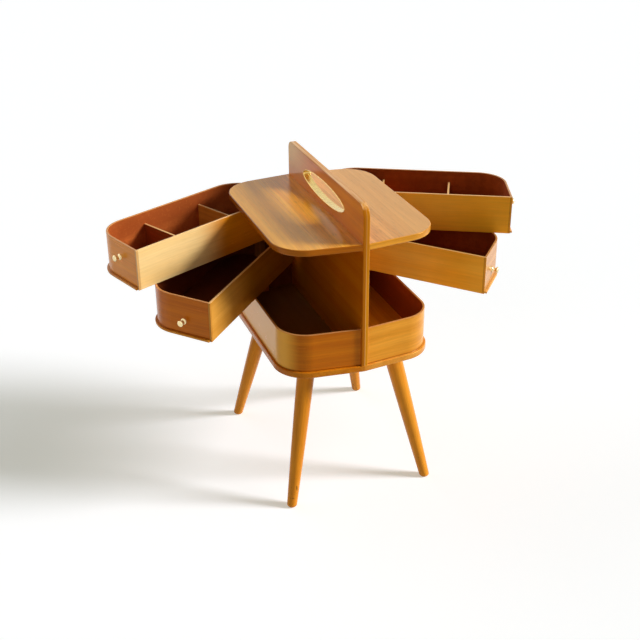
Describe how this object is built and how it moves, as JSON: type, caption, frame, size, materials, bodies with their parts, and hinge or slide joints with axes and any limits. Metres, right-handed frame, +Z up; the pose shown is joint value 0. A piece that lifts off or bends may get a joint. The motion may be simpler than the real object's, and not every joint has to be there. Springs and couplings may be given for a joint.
{
  "type": "sewing box",
  "caption": "Wooden sewing box on splayed legs: open base tray, trays that swing out on upright rods, and a centre panel with an oval hand grip.",
  "frame": {"origin": "on the floor under the middle of the opened box's bounding box", "axes": "+Z up, +X across the box towards its right-hand trays, +Y along the centre panel to the rods at the back"},
  "size_m": [0.8136, 0.4194, 0.6],
  "materials": {
    "leg_beech": "satin varnish",
    "board_veneer": "satin varnish",
    "panel_plywood": "satin varnish",
    "tray_floor_plywood": "satin varnish",
    "wall_plywood": "satin varnish",
    "inner_wood": "satin varnish",
    "brass": "satin",
    "steel": "satin"
  },
  "bodies": {
    "stand": {"base_board": "board_veneer", "base_wall_left": "wall_plywood", "base_wall_right": "wall_plywood", "centre_panel": "panel_plywood", "grip_liner": "brass", "top_left": "board_veneer", "top_right": "board_veneer", "top_dowels": "inner_wood", "panel_screws": "steel", "leg_front_left": "leg_beech", "leg_front_right": "leg_beech", "leg_rear_left": "leg_beech", "leg_rear_right": "leg_beech", "leg_bolts": "steel", "base_post_left": "inner_wood", "base_post_right": "inner_wood", "pivot_rod_left": "steel", "pivot_rod_right": "steel", "pivot_washers": "steel"},
    "upper_left_tray": {"upper_left_floor": "tray_floor_plywood", "upper_left_bent_wall": "wall_plywood", "upper_left_flat_wall": "wall_plywood", "upper_left_pivot_post": "inner_wood", "upper_left_knob": "brass", "upper_left_knob_screw": "steel", "upper_left_divider_front": "inner_wood", "upper_left_divider_rear": "inner_wood"},
    "upper_right_tray": {"upper_right_floor": "tray_floor_plywood", "upper_right_bent_wall": "wall_plywood", "upper_right_flat_wall": "wall_plywood", "upper_right_pivot_post": "inner_wood", "upper_right_knob": "brass", "upper_right_knob_screw": "steel", "upper_right_divider_front": "inner_wood", "upper_right_divider_rear": "inner_wood"},
    "lower_left_tray": {"lower_left_floor": "tray_floor_plywood", "lower_left_bent_wall": "wall_plywood", "lower_left_flat_wall": "wall_plywood", "lower_left_pivot_post": "inner_wood", "lower_left_knob": "brass", "lower_left_knob_screw": "steel"},
    "lower_right_tray": {"lower_right_floor": "tray_floor_plywood", "lower_right_bent_wall": "wall_plywood", "lower_right_flat_wall": "wall_plywood", "lower_right_pivot_post": "inner_wood", "lower_right_knob": "brass", "lower_right_knob_screw": "steel"}
  },
  "joints": [
    {"name": "upper_left_swing", "type": "hinge", "parent": "stand", "child": "upper_left_tray", "pos_m": [-0.0765, 0.159, 0.4806], "axis": [0, 0, -1], "range_deg": [-63.6, 116.4]},
    {"name": "upper_right_swing", "type": "hinge", "parent": "stand", "child": "upper_right_tray", "pos_m": [0.0765, 0.159, 0.4806], "axis": [0, 0, 1], "range_deg": [-61.8, 118.2]},
    {"name": "lower_left_swing", "type": "hinge", "parent": "stand", "child": "lower_left_tray", "pos_m": [-0.0765, 0.159, 0.4038], "axis": [0, 0, -1], "range_deg": [-42, 138]},
    {"name": "lower_right_swing", "type": "hinge", "parent": "stand", "child": "lower_right_tray", "pos_m": [0.0765, 0.159, 0.4038], "axis": [0, 0, 1], "range_deg": [-41.6, 138.4]}
  ]
}
